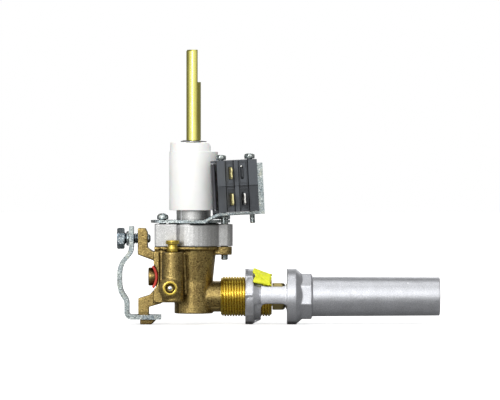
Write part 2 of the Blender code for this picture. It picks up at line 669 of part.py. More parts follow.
def make_switch(name, switches, low):
    """One snap switch: a case with a side cover, a plunger, a contact leaf and two blade terminals."""
    wall = 1.4
    width, depth, height = SWITCH_WIDTH, SWITCH_DEPTH, SWITCH_HEIGHT
    stage = frame(f"{name} switch", (0, 0, low), parent=switches)
    case = new_object(
        f"{name}_switch_case", boxed((0, 0, 0), (width, depth - 1.3, height)), "black_plastic", parent=stage
    )
    ridges = [(0, 4.4), (9.4, 11.6), (17.2, width)]
    for i, (left, right) in enumerate(ridges):
        join(
            case, new_object(f"{name} ridge {i}", boxed((left, -1.2, 0), (right, 0.5, height)), parent=stage)
        )
    inside = boxed((6.0, wall, wall), (16.4, depth, height - wall))
    cut(case, new_object(f"{name} inside", inside, parent=stage))
    cover = boxed((0, depth - 1.3 + GAP, 0), (width, depth, height))
    cover = new_object(f"{name}_switch_cover", cover, "black_plastic", parent=stage)
    for u in SWITCH_SCREWS:
        hole = new_object(
            f"{name} screw hole {u}", cylinder(1.5 + GAP, -5, 20, SMALL), location=(u, 5.5, 0), parent=stage
        )
        cut(case, hole)
    middle = height / 2
    plunger_at = (0, 8.3, middle)
    lug_low = 0 if name == "lower" else height - 1.2
    lug = boxed((-3.0, 0.0, lug_low), (0.5, 2.8, lug_low + 1.2))
    join(case, new_object(f"{name} lever lug", lug, parent=stage))
    pin_hole = cylinder(0.5 + GAP, -5, 20, 12)
    cut(case, new_object(f"{name} pin hole", pin_hole, location=LEVER_PIN, parent=stage))
    hole = cylinder(0.9 + GAP, -3, 8, SMALL)
    cut(case, new_object(f"{name} plunger hole", hole, location=plunger_at, rotation=ALONG_X, parent=stage))
    plunger = turned([(0, -0.8), (0.9, -0.6), (0.9, 8.3), (0, 8.3)], SMALL)
    new_object(
        f"{name}_switch_plunger", plunger, "black_plastic", location=plunger_at, rotation=ALONG_X, parent=stage
    )
    leaf = boxed((8.6, 3.0, middle - 1.5), (8.9, 10.0, middle + 1.5))
    new_object(f"{name}_switch_leaf", leaf, "copper", parent=stage)
    for letter, u in (("a", 7.2), ("b", 13.8)):
        slot = boxed((u - 0.4 - GAP, -3, middle - 3.15 - GAP), (u + 0.4 + GAP, 3, middle + 3.15 + GAP))
        cut(case, new_object(f"{name} terminal slot {letter}", slot, parent=stage))
        out = -7.5 if (name, letter) != ("upper", "b") else -0.9
        blade = extruded(
            [(out, -2.2), (out + 1.0, -3.15), (5, -3.15), (5, 3.15), (out + 1.0, 3.15), (out, 2.2)], -0.4, 0.4
        )
        spun = Matrix(((0, 0, 1), (1, 0, 0), (0, 1, 0)))
        bmesh.ops.rotate(blade, cent=(0, 0, 0), matrix=spun, verts=blade.verts)
        new_object(
            f"{name}_switch_blade_{letter}", blade, "machined_brass", location=(u, 0, middle), parent=stage
        )


def make_switches(switches):
    """Two switches on the bracket's shelf, and their two long screws."""
    make_switch("lower", switches, 0)
    make_switch("upper", switches, SWITCH_HEIGHT + GAP)
    top = 2 * SWITCH_HEIGHT + 2 * GAP
    for name, u in zip(("left", "right"), SWITCH_SCREWS):
        profile = [
            (0, -6.6), (1.2, -6.6), (1.5, -6.1), (1.5, top), (2.8, top), (2.8, top + 1.9), (2.2, top + 2.8),
            (0, top + 2.9),
        ]
        new_object(
            f"switch_screw_{name}",
            turned(profile, SMALL),
            "zinc_plated_steel",
            location=(u, 5.5, 0),
            parent=switches,
        )


def make_lever(valve, switches):
    """The lever that presses both plungers. Its pin stands in the switches' lugs. Its nose slopes up under
    the cam sleeve's rim, so that the sleeve drives it outwards as the spindle is pushed in, whichever way
    the spindle is turned."""
    pin = frame("lever pin axis", LEVER_PIN, parent=switches)
    high = 2 * SWITCH_HEIGHT - 1.5
    new_object("lever_pin", cylinder(0.5, 0.1, high + 1.4, 12), "spring_steel", parent=pin)
    lever = new_object(
        "switch_lever", boxed((-0.45, -0.4, 1.8), (0.45, 8.4, high)), "black_plastic", parent=pin
    )
    leg = boxed((-0.45, 7.2, -3.0), (0.45, 8.3, 5.0))
    low, rim = BRACKET_LOW + SHEET + 0.5, SLEEVE_LOW - 0.4
    out = Vector((math.cos(NOSE_ANGLE), math.sin(NOSE_ANGLE)))
    side = Vector((-out.y, out.x))
    foot = Vector(SWITCH_CORNER) + switch_rotation() @ (Vector(LEVER_PIN) + Vector((0, 7.7, -2.6)))

    def nose_point(radius, across, height):
        return (*(out * radius + side * across), height)

    slope = [(12.1, low), (12.1, low + 0.3), (13.5, rim), (15.0, rim), (15.0, low)]
    nose = hulled([nose_point(radius, across, z) for across in (-1.2, 1.2) for radius, z in slope])
    arm = (low + 0.1, SWITCH_CORNER[2] - 0.5)
    arm_end = [nose_point(radius, across, z) for radius, across in ((14.2, -1), (14.9, 0)) for z in arm]
    arm_start = [(foot.x + x, foot.y, z) for x in (-0.4, 0.4) for z in arm]
    join(
        lever,
        new_object("lever barrel", cylinder(1.1, 1.8, high, SMALL), parent=pin),
        new_object("lever leg", leg, parent=pin),
        new_object("lever nose", nose, parent=valve),
        new_object("lever arm", hulled(arm_start + arm_end), parent=valve),
    )
    cut(lever, new_object("lever pin hole", cylinder(0.5 + GAP, -2, 30, 12), parent=pin))


# ---------------------------------------------------------------- assembly

clear_scene()
MATERIALS = {name: make_material(name) for name in FINISHES}
valve_frame = frame("spindle axis", (SPINDLE_X, 0, 0))
outlet_frame = frame("outlet axis", (0, 0, OUTLET_Z), ALONG_X, valve_frame)
switch_frame = frame("switches", SWITCH_CORNER, parent=valve_frame)
switch_frame.rotation_euler = switch_rotation().to_euler()
make_body(valve_frame, outlet_frame)
make_bonnet(valve_frame)
make_bracket(valve_frame, switch_frame)
make_spindle(valve_frame)
make_plug(valve_frame)
make_safety_valve(valve_frame)
make_bypass(valve_frame)
make_outlet(outlet_frame)
make_clamp()
make_switches(switch_frame)
make_lever(valve_frame, switch_frame)
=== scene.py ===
"""A gas tap on its pipe clamp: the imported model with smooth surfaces, threads, recesses and real finishes.

Lengths are in millimetres until a piece is made, and angles in degrees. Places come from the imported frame's
joints, mounts and boxes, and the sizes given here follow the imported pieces.
"""

import json
import math

import bmesh
import bpy
from mathutils import Matrix, Vector, noise

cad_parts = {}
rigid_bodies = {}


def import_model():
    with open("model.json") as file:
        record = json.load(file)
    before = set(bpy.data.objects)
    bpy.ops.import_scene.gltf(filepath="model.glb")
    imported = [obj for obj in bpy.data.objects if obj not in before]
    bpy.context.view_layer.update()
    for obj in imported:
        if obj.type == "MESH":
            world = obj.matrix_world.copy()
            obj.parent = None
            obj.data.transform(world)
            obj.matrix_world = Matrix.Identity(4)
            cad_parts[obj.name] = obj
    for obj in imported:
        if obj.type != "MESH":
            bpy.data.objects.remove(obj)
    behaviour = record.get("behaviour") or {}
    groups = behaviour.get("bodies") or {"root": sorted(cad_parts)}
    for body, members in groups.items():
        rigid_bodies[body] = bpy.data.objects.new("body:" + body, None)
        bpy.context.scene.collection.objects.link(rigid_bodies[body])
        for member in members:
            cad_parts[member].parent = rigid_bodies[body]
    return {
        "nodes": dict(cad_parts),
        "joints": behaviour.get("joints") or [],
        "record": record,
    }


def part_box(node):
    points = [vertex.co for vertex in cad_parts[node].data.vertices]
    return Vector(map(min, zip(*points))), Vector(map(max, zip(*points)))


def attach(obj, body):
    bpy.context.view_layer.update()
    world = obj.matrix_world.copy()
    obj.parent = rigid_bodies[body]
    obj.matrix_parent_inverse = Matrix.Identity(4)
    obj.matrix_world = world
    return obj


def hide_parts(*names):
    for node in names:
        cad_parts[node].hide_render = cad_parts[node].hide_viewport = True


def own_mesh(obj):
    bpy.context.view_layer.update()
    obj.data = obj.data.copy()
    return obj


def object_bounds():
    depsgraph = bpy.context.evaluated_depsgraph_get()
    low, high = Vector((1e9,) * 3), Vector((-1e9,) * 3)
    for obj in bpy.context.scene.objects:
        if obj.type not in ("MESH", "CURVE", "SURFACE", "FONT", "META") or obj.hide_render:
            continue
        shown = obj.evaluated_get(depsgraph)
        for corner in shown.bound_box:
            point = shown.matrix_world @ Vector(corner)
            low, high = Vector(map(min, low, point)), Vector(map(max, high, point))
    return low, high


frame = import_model()
cad_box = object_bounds()

MM = 0.001
NODES = frame["nodes"]
JOINTS = {joint["name"]: joint for joint in frame["joints"]}
MOUNTS = {mount["name"]: mount for mount in frame["record"]["mounts"]}


# ---------------------------------------------------------------- places, read from the frame


def box_mm(node):
    """A node's lowest and highest corners at rest."""
    low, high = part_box(node)
    return low / MM, high / MM


def joint_place(name):
    return Vector(JOINTS[name]["pos_m"]) / MM


def axes_place(origin, x_axis, y_axis, z_axis):
    """A matrix that puts a piece's own axes along these directions, and its origin at a point."""
    matrix = Matrix((x_axis, y_axis, z_axis)).transposed().to_4x4()
    matrix.translation = Vector(origin) * MM
    return matrix


def about_z(degrees):
    """A turn about the vertical."""
    return Matrix.Rotation(math.radians(degrees), 4, "Z")


X, Y, Z = Vector((1, 0, 0)), Vector((0, 1, 0)), Vector((0, 0, 1))
WORLD = axes_place((0, 0, 0), X, Y, Z)
FROM_FRONT = axes_place((0, 0, 0), X, Z, -Y)  # an outline drawn as seen from the front, extruded along Y
SPINDLE_X = joint_place("plug_turn").x
TUBE_LOW, TUBE_HIGH = box_mm("mixer_tube")
OUTLET_Z = (TUBE_LOW.z + TUBE_HIGH.z) / 2
SPINDLE_PLACE = axes_place((SPINDLE_X, 0, 0), X, Y, Z)
SPINDLE_FRONT = axes_place((SPINDLE_X, 0, 0), X, Z, -Y)
OUTLET_PLACE = axes_place((0, 0, OUTLET_Z), -Z, Y, X)  # own Z runs along the outlet, away from the pipe
SWITCH_U = Vector(JOINTS["lower_plunger_press"]["axis"])
SWITCH_W = -Vector(JOINTS["lever_swing"]["axis"])
SWITCH_V = SWITCH_W.cross(SWITCH_U)
LEVER_PIN = (-1.7, 1.4)  # in the switches' own frame, whose axes are U, V and W
SWITCH_CORNER = joint_place("lever_swing") - SWITCH_U * LEVER_PIN[0] - SWITCH_V * LEVER_PIN[1]
SWITCH_PLACE = axes_place(SWITCH_CORNER, SWITCH_U, SWITCH_V, SWITCH_W)
CASE_HEIGHT = 14.0  # of one switch
SWITCH_SCREWS = (3.3, 19.1)  # across the case
CASE_GROOVES = ((4.6, 1.6), (9.2, 1.8), (11.8, 1.9), (17.0, 1.6))  # across the case, and how deep
THREAD_START = 44.8  # along the outlet
THREAD_DEPTH = 0.52  # of a thread's pitch
THREAD_CREST = 0.18  # half width of the flat crest, as a share of the pitch
THREAD_FLANK = 3.8  # how fast the flank falls, in depths per pitch
FLAT_LOW = 106.9  # the height at which the spindle's flat begins
MIXER_TURN = 5.0  # how far the mixing tube is screwed past level
MIXER_ARM = 9.4  # width of the arms between its air windows
GRIP_LOW, GRIP_HIGH = 58.4, 62.4  # the mixing tube's first collar, along the outlet
WINDOW_LOW, WINDOW_HIGH = 66.8, 81.1  # its air windows
COLLAR_HIGH = 86.0  # the far side of its second collar


# ---------------------------------------------------------------- shapes


def rectangle(x0, x1, y0, y1):
    """A closed outline, or a profile from one radius to another between two heights."""
    return [(x0, y0), (x1, y0), (x1, y1), (x0, y1)]


def rounded(outline, radius, steps=3):
    """A closed outline with its corners rounded. A corner on the axis, at x = 0, stays sharp."""
    made = []
    for i, corner in enumerate(outline):
        here = Vector(corner)
        before, after = Vector(outline[i - 1]) - here, Vector(outline[(i + 1) % len(outline)]) - here
        bend = before.angle(-after, 0) if before.length and after.length else 0
        if here.x == 0 or bend < 0.2:
            made.append(corner)
            continue
        reach = min(radius, 0.45 * before.length, 0.45 * after.length)
        start, end = here + before.normalized() * reach, here + after.normalized() * reach
        for k in range(steps + 1):
            t = k / steps
            point = start * (1 - t) ** 2 + here * (2 * t * (1 - t)) + end * t**2
            made.append((point.x, point.y))
    return made


def skin(bm, rings, closed=True):
    """Faces from each ring of points to the next. Points that fall together give triangles."""
    for ring, after in zip(rings, rings[1:]):
        for i in range(len(ring) if closed else len(ring) - 1):
            j = (i + 1) % len(ring)
            corners = list(dict.fromkeys([ring[i], ring[j], after[j], after[i]]))
            if len(corners) > 2:
                bm.faces.new(corners)


def turned_point(bm, radius, angle, height):
    return bm.verts.new((radius * math.cos(angle), radius * math.sin(angle), height))


def turned(profile, sides=128, start=0.0, sweep=360.0):
    """A solid turned about +Z from a closed profile of (radius, height). A part turn gets flat ends."""
    bm = bmesh.new()
    whole = sweep >= 360
    count = sides if whole else sides + 1
    angles = [math.radians(start + sweep * i / sides) for i in range(count)]
    rings = []
    for radius, height in profile:
        if radius == 0:
            rings.append([bm.verts.new((0, 0, height))] * count)
        else:
            rings.append([turned_point(bm, radius, angle, height) for angle in angles])
    skin(bm, rings + rings[:1], whole)
    if not whole:
        bm.faces.new([ring[0] for ring in rings][::-1])
        bm.faces.new([ring[-1] for ring in rings])
    return bm


def threaded(major, pitch, low, high, core=0.0, around=96, per_turn=10, chamfer=1.0):
    """A screw thread about +Z, cut 45 degrees at both ends, solid or round a core."""
    depth = THREAD_DEPTH * pitch
    deepest = major - depth - 0.3  # where the chamfered ends stop
    bm = bmesh.new()
    rows = round((high - low) / pitch * per_turn)
    rings = []
    for row in range(rows + 1):
        height = low + (high - low) * row / rows
        limit = major - chamfer + min(height - low, high - height)
        ring = []
        for k in range(around):
            phase = (height / pitch - k / around) % 1
            fall = min(1.0, max(0.0, (abs(phase - 0.5) - THREAD_CREST) * THREAD_FLANK))
            radius = max(min(major - depth * fall, limit), deepest)
            ring.append(turned_point(bm, radius, 2 * math.pi * k / around, height))
        rings.append(ring)
    for height in (high, low):
        if core:
            rings.append([turned_point(bm, core, 2 * math.pi * k / around, height) for k in range(around)])
        else:
            rings.append([bm.verts.new((0, 0, height))] * around)
    skin(bm, rings + rings[:1])
    return bm


def extruded(outline, low, high):
    """A solid with a closed outline, from one height to another."""
    bm = bmesh.new()
    bottom = [bm.verts.new((x, y, low)) for x, y in outline]
    top = [bm.verts.new((x, y, high)) for x, y in outline]
    bm.faces.new(bottom[::-1])
    bm.faces.new(top)
    for i in range(len(outline)):
        j = (i + 1) % len(outline)
        bm.faces.new([bottom[i], bottom[j], top[j], top[i]])
    return bm


def boxed(low, high):
    (x0, y0, z0), (x1, y1, z1) = low, high
    return extruded(rectangle(x0, x1, y0, y1), z0, z1)


def capped(bm, rings):
    """A solid through a row of rings, with its ends closed."""
    skin(bm, rings)
    bm.faces.new(rings[0][::-1])
    bm.faces.new(rings[-1])
    return bm


def hexagon(across, low, high):
    """A spanner hexagon about +Z whose corners a cone cuts back at both ends."""
    bm = bmesh.new()
    points, layers = 72, 10
    end_radius = across / 2 * 1.06  # of the cone at either end, a little over the flats
    cone_slope = 1.9
    rings = []
    for layer in range(layers + 1):
        height = low + (high - low) * layer / layers
        cone = end_radius + cone_slope * min(height - low, high - height)
        ring = []
        for k in range(points):
            angle = 2 * math.pi * k / points
            off_flat = (angle + math.pi / 6) % (math.pi / 3) - math.pi / 6
            radius = min(across / 2 / math.cos(off_flat), cone)
            ring.append(turned_point(bm, radius, angle, height))
        rings.append(ring)
    return capped(bm, rings)


def spring(low, high, radii, wire, turns, sides=10):
    """A coil spring about +Z, from its radius at the foot to its radius at the top."""
    closed = 0.7  # turns at each end that lie nearly flat
    slope = 0.15  # share of the height that all turns climb evenly
    bm = bmesh.new()
    steps = round(turns * 40)
    rings = []
    for i in range(steps + 1):
        t = i / steps
        angle = 2 * math.pi * turns * t
        rise = min(max((t * turns - closed) / (turns - 2 * closed), 0), 1)
        radius = radii[0] + (radii[1] - radii[0]) * t
        height = low + wire + (high - low - 2 * wire) * ((1 - slope) * rise + slope * t)
        out = Vector((math.cos(angle), math.sin(angle), 0))
        centre = out * radius + Z * height
        around = [2 * math.pi * k / sides for k in range(sides)]
        rings.append([bm.verts.new(centre + wire * (math.cos(a) * out + math.sin(a) * Z)) for a in around])
    return capped(bm, rings)


def merged(*meshes):
    """One mesh that holds several closed shells."""
    whole = bmesh.new()
    for bm in meshes:
        bmesh.ops.recalc_face_normals(bm, faces=bm.faces)
        carrier = bpy.data.meshes.new("carrier")
        bm.to_mesh(carrier)
        bm.free()
        whole.from_mesh(carrier)
        bpy.data.meshes.remove(carrier)
    return whole


def bent_line(points, radius, steps=5):
    """An open line with its bends rounded."""
    made = [Vector(points[0])]
    for before, here, after in zip(points, points[1:], points[2:]):
        before, here, after = Vector(before), Vector(here), Vector(after)
        reach = min(radius, 0.48 * (before - here).length, 0.48 * (after - here).length)
        start = here + (before - here).normalized() * reach
        end = here + (after - here).normalized() * reach
        for k in range(steps + 1):
            t = k / steps
            made.append(start * (1 - t) ** 2 + here * (2 * t * (1 - t)) + end * t**2)
    made.append(Vector(points[-1]))
    return made


def band(line, thickness):
    """The outline of an even band beside a line."""
    side = []
    for i, here in enumerate(line):
        ahead, behind = line[min(i + 1, len(line) - 1)], line[max(i - 1, 0)]
        along = (ahead - behind).normalized()
        side.append(here + Vector((-along.y, along.x)) * thickness)
    return [tuple(p) for p in line] + [tuple(p) for p in side[::-1]]


def moved(bm, matrix):
    """A mesh moved by a matrix in millimetres."""
    bm.transform(matrix)
    return bm


# ---------------------------------------------------------------- making pieces


def make(name, bm, place, look=None, body="tap", stands_for=(), angle=32.0):
    """A piece of a mesh in millimetres, riding on a body. One with no look is a hidden helper."""
    bmesh.ops.recalc_face_normals(bm, faces=bm.faces)
    bmesh.ops.scale(bm, vec=(MM, MM, MM), verts=bm.verts)
    mesh = bpy.data.meshes.new(name)
    bm.to_mesh(mesh)
    bm.free()
    mesh.shade_smooth()
    mesh.set_sharp_from_angle(angle=math.radians(angle))
    obj = bpy.data.objects.new(name, mesh)
    bpy.context.scene.collection.objects.link(obj)
    obj.matrix_world = place
    if look is None:
        obj.hide_render = True
        obj.display_type = "WIRE"
        return obj
    mesh.materials.append(look)
    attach(obj, body)
    if stands_for:
        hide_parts(*stands_for)
    return obj


def combine(obj, operation, *helpers):
    """Adds hidden pieces to a piece, cuts them from it, or keeps what they share."""
    for helper in helpers:
        modifier = obj.modifiers.new(helper.name, "BOOLEAN")
        modifier.operation = operation
        modifier.solver = "EXACT"
        modifier.object = helper


def settled(obj):
    """Turns a piece's modifiers into mesh, so that its cutters needn't move with it."""
    graph = bpy.context.evaluated_depsgraph_get()
    mesh = bpy.data.meshes.new_from_object(obj.evaluated_get(graph))
    helpers = [modifier.object for modifier in obj.modifiers if modifier.type == "BOOLEAN"]
    obj.modifiers.clear()
    obj.data = mesh
    for helper in helpers:
        bpy.data.objects.remove(helper)


def bevelled(obj, width, segments=3, angle=35.0):
    """Rounds the edges that are sharper than an angle."""
    modifier = obj.modifiers.new("edges", "BEVEL")
    modifier.width = width * MM
    modifier.segments = segments
    modifier.limit_method = "ANGLE"
    modifier.angle_limit = math.radians(angle)
    modifier.harden_normals = True
    return obj


def welded(obj):
    """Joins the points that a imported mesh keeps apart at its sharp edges."""
    modifier = obj.modifiers.new("weld", "WELD")
    modifier.merge_threshold = 1e-6
    return obj


def cast(obj, grain=0.3, soften=5):
    """Rounds every edge and corner the way a mould leaves them."""
    remesh = obj.modifiers.new("grain", "REMESH")
    remesh.mode = "VOXEL"
    remesh.voxel_size = grain * MM
    remesh.use_smooth_shade = True
    smooth = obj.modifiers.new("soften", "SMOOTH")
    smooth.factor = 0.5
    smooth.iterations = soften
    return obj


def dress(node, look):
    """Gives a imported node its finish."""
    obj = NODES[node]
    obj.data.materials.clear()
    obj.data.materials.append(look)
    return obj


# ---------------------------------------------------------------- finishes


def scaled(colour, factor):
    return tuple(part * factor for part in colour)


class Finish:
    """A Principled material whose colour, roughness and bump come from procedural object-space textures."""

    def __init__(self, name, colour, metallic=0.0, roughness=0.5, **sockets):
        self.material = bpy.data.materials.new(name)
        self.material.use_nodes = True
        self.tree = self.material.node_tree
        self.shader = self.tree.nodes["Principled BSDF"]
        self.shader.inputs["Base Color"].default_value = (*colour, 1)
        self.shader.inputs["Metallic"].default_value = metallic
        self.shader.inputs["Roughness"].default_value = roughness
        for socket, value in sockets.items():
            self.shader.inputs[socket.replace("_", " ")].default_value = value
        self.colour = (*colour, 1)
        self.coordinates = self.node("ShaderNodeTexCoord").outputs["Object"]
        self.bump_input = self.shader.inputs["Normal"]

    def node(self, kind, **settings):
        made = self.tree.nodes.new(kind)
        for name, value in settings.items():
            setattr(made, name, value)
        return made

    def link(self, source, target):
        self.tree.links.new(source, target)

    def texture(self, size, detail=3.0, stretch=(1, 1, 1), seed=0.0):
        """A grey texture whose features are about so many millimetres across."""
        mapping = self.node("ShaderNodeMapping")
        mapping.inputs["Scale"].default_value = stretch
        mapping.inputs["Location"].default_value = (seed, seed, seed)
        self.link(self.coordinates, mapping.inputs["Vector"])
        made = self.node("ShaderNodeTexNoise")
        made.inputs["Detail"].default_value = detail
        made.inputs["Scale"].default_value = 1 / (size * MM)
        self.link(mapping.outputs["Vector"], made.inputs["Vector"])
        return made.outputs[0]

    def ranged(self, source, low, high, to_low=0.0, to_high=1.0):
        """A mask: what lies between low and high, spread from to_low to to_high."""
        made = self.node("ShaderNodeMapRange")
        for name, value in (("From Min", low), ("From Max", high), ("To Min", to_low), ("To Max", to_high)):
            made.inputs[name].default_value = value
        self.link(source, made.inputs["Value"])
        return made.outputs["Result"]

    def blend(self, mask, colour):
        """Lays a colour over what the base colour is so far, where the mask is 1."""
        mix = self.node("ShaderNodeMix", data_type="RGBA")
        target = self.shader.inputs["Base Color"]
        if target.links:
            self.link(target.links[0].from_socket, mix.inputs["A"])
        else:
            mix.inputs["A"].default_value = self.colour
        mix.inputs["B"].default_value = (*colour, 1)
        self.link(mask, mix.inputs["Factor"])
        self.link(mix.outputs["Result"], target)
        return self

    def rough(self, source, low, high):
        """Roughness that varies between two values."""
        self.link(self.ranged(source, 0.3, 0.7, low, high), self.shader.inputs["Roughness"])
        return self

    def bump(self, source, height, strength=1.0):
        """Adds relief of a height in millimetres."""
        made = self.node("ShaderNodeBump")
        made.inputs["Strength"].default_value = strength
        made.inputs["Distance"].default_value = height * MM
        self.link(source, made.inputs["Height"])
        self.link(made.outputs["Normal"], self.bump_input)
        self.bump_input = made.inputs["Normal"]
        return self

    def edges(self, colour, low=0.52, high=0.58):
        """Worn or rubbed edges, where the surface turns outwards."""
        pointiness = self.node("ShaderNodeNewGeometry").outputs["Pointiness"]
        return self.blend(self.ranged(pointiness, low, high), colour)

    def painted_shade_in_hollows(self, colour, reach=2.0, low=0.35, high=0.9):
        """Painted shade: darkens the colour in the corners and hollows that ambient occlusion finds."""
        occlusion = self.node("ShaderNodeAmbientOcclusion")
        occlusion.inputs["Distance"].default_value = reach * MM
        return self.blend(self.ranged(occlusion.outputs["AO"], low, high, 1.0, 0.0), colour)

    def lathe(self, spacing, height, axis="Z"):
        """Fine turning lines round an axis."""
        wave = self.node("ShaderNodeTexWave", wave_type="BANDS", bands_direction=axis)
        wave.inputs["Scale"].default_value = 1 / (spacing * MM) / 20
        wave.inputs["Distortion"].default_value = 0.6
        wave.inputs["Detail"].default_value = 2.0
        self.link(self.coordinates, wave.inputs["Vector"])
        return self.bump(wave.outputs["Color"], height)


def forged_brass():
    look = Finish("forged brass", (0.345, 0.258, 0.092), 1.0, 0.36)
    look.blend(look.ranged(look.texture(5.0, 4), 0.35, 0.7), (0.20, 0.138, 0.050))
    look.blend(look.ranged(look.texture(0.8, 2, seed=3.0), 0.5, 0.68, 0.0, 0.85), (0.56, 0.41, 0.15))
    look.blend(look.ranged(look.texture(0.8, 2, seed=11.0), 0.52, 0.68, 0.0, 0.85), (0.07, 0.043, 0.016))
    # painted shade: the colour falls to near black in the forging's hollows and crevices
    look.painted_shade_in_hollows((0.035, 0.02, 0.009), 3.5, 0.25, 0.95)
    look.edges((0.62, 0.47, 0.19), 0.53, 0.6)
    look.rough(look.texture(1.5, 3, seed=1.0), 0.3, 0.44)
    look.bump(look.texture(0.7, 3, seed=5.0), 0.13, 0.85)
    look.bump(look.texture(0.16, 2, seed=7.0), 0.012, 0.6)
    return look.material


def machined_brass(name="machined brass", tint=(0.62, 0.46, 0.085), roughness=0.15):
    look = Finish(name, tint, 1.0, roughness)
    look.blend(look.ranged(look.texture(3.0, 3), 0.4, 0.75, 0.0, 0.6), scaled(tint, 0.74))
    # painted shade in corners and grooves
    look.painted_shade_in_hollows((0.13, 0.075, 0.02), 0.8, 0.15, 0.85)
    look.rough(look.texture(0.8, 3, seed=2.0), roughness, roughness + 0.13)
    look.lathe(0.16, 0.006)
    return look.material


def thread_brass():
    look = Finish("threaded brass", (0.66, 0.50, 0.075), 1.0, 0.24)
    look.blend(look.ranged(look.texture(3.0, 3), 0.4, 0.75, 0.0, 0.6), (0.50, 0.35, 0.05))
    # painted shade in the thread's grooves
    look.painted_shade_in_hollows((0.30, 0.19, 0.03), 0.5, 0.15, 0.75)
    look.rough(look.texture(0.8, 3, seed=2.0), 0.2, 0.34)
    look.bump(look.texture(0.4, 2), 0.012, 0.5)
    return look.material


def blade_brass():
    look = Finish("blade brass", (0.9, 0.82, 0.42), 1.0, 0.45)
    look.blend(look.ranged(look.texture(1.2, 3), 0.4, 0.75, 0.0, 0.8), (0.66, 0.56, 0.22))
    look.rough(look.texture(0.5, 3, seed=2.0), 0.3, 0.48)
    look.bump(look.texture(0.25, 2), 0.006, 0.5)
    return look.material


def spindle_brass():
    look = Finish("spindle brass", (0.56, 0.53, 0.15), 1.0, 0.26)
    streaks = look.texture(2.0, 4, stretch=(1, 1, 0.15))
    look.blend(look.ranged(streaks, 0.4, 0.8, 0.0, 0.8), (0.43, 0.39, 0.09))
    look.rough(look.texture(0.5, 3, stretch=(1, 1, 0.05)), 0.2, 0.34)
    look.lathe(0.12, 0.006)
    look.bump(look.texture(0.3, 2, stretch=(1, 1, 0.03)), 0.01, 0.5)
    return look.material


def cast_aluminium(name, colour, speckle, roughness):
    look = Finish(name, colour, 1.0, roughness)
    look.blend(look.ranged(look.texture(6.0, 4), 0.35, 0.75, 0.0, 0.6), scaled(colour, 0.8))
    look.blend(look.ranged(look.texture(0.45, 2, seed=2.0), 0.5, 0.68, 0.0, speckle), scaled(colour, 0.55))
    look.blend(look.ranged(look.texture(0.35, 2, seed=9.0), 0.55, 0.7, 0.0, speckle), (0.95, 0.95, 0.95))
    # painted shade in corners, as under the sleeve
    look.painted_shade_in_hollows((0.10, 0.10, 0.105), 2.5, 0.15, 0.8)
    look.edges((0.85, 0.85, 0.86), 0.53, 0.6)
    look.rough(look.texture(0.9, 3, seed=4.0), roughness - 0.08, roughness + 0.1)
    look.bump(look.texture(0.5, 3, seed=6.0), 0.035, 0.7)
    look.bump(look.texture(0.18, 2, seed=8.0), 0.015, 0.6)
    return look.material


def zinc_plate(name="zinc plate", tint=(0.40, 0.45, 0.44), patches=1.0):
    look = Finish(name, tint, 1.0, 0.24)
    blued = tuple(part * share for part, share in zip(tint, (0.5, 0.56, 0.66)))
    look.blend(look.ranged(look.texture(4.0, 4), 0.4, 0.7, 0.0, 0.8), blued)
    yellowed = look.texture(2.5, 3, seed=5.0)
    look.blend(look.ranged(yellowed, 0.55, 0.75, 0.0, 0.5 * patches), (0.66, 0.65, 0.48))
    look.blend(look.ranged(look.texture(0.9, 4, seed=8.0), 0.54, 0.64, 0.0, 0.7), scaled(tint, 0.2))
    look.blend(look.ranged(look.texture(0.7, 3, seed=13.0), 0.56, 0.66, 0.0, 0.8), (0.88, 0.9, 0.89))
    # painted shade in corners and bends
    look.painted_shade_in_hollows((0.07, 0.08, 0.09), 1.5, 0.15, 0.8)
    look.rough(look.texture(1.2, 3, seed=1.0), 0.16, 0.34)
    look.bump(look.texture(0.8, 3, seed=3.0), 0.05, 0.7)
    return look.material


def plain_steel():
    look = Finish("spring steel", (0.33, 0.33, 0.34), 1.0, 0.3)
    look.blend(look.ranged(look.texture(1.0, 3), 0.4, 0.7), (0.22, 0.22, 0.23))
    look.rough(look.texture(0.4, 3), 0.22, 0.4)
    look.bump(look.texture(0.2, 2), 0.006, 0.5)
    return look.material


def bright_ball():
    look = Finish("bearing steel", (0.7, 0.71, 0.73), 1.0, 0.08)
    look.rough(look.texture(0.5, 3), 0.05, 0.12)
    look.bump(look.texture(0.4, 2), 0.002, 0.4)
    return look.material


def white_moulding():
    look = Finish(
        "white moulding", (0.87, 0.87, 0.85), 0.0, 0.36, Subsurface_Weight=0.12, Subsurface_Scale=0.002
    )
    look.blend(look.ranged(look.texture(9.0, 3), 0.45, 0.7, 0.0, 0.5), (0.82, 0.82, 0.78))
    look.blend(look.ranged(look.texture(1.0, 5, seed=4.0), 0.68, 0.76, 0.0, 0.35), (0.6, 0.58, 0.53))
    # painted shade: grey in the moulding's corners
    look.painted_shade_in_hollows((0.55, 0.55, 0.53), 1.5, 0.2, 0.8)
    look.rough(look.texture(2.0, 3, seed=1.0), 0.3, 0.46)
    look.bump(look.texture(3.0, 2, stretch=(1, 1, 0.2)), 0.03, 0.4)
    look.bump(look.texture(0.25, 2, seed=2.0), 0.004, 0.5)
    return look.material


def dark_moulding(name="dark moulding", colour=(0.025, 0.0275, 0.031)):
    look = Finish(name, colour, 0.0, 0.45, Specular_IOR_Level=0.35)
    look.blend(look.ranged(look.texture(4.0, 4), 0.4, 0.75), scaled(colour, 1.7))
    look.edges(scaled(colour, 3.2), 0.53, 0.62)
    # painted shade: black in the moulding's corners and grooves
    look.painted_shade_in_hollows((0.003, 0.003, 0.004), 1.6, 0.35, 0.95)
    look.rough(look.texture(1.0, 3, seed=1.0), 0.32, 0.5)
    look.bump(look.texture(0.22, 2, seed=2.0), 0.008, 0.7)
    return look.material


def rubber(name, colour):
    look = Finish(name, colour, 0.0, 0.6)
    look.blend(look.ranged(look.texture(2.0, 4), 0.4, 0.7), scaled(colour, 0.7))
    look.rough(look.texture(0.6, 3), 0.5, 0.75)
    look.bump(look.texture(0.3, 2), 0.012, 0.7)
    return look.material


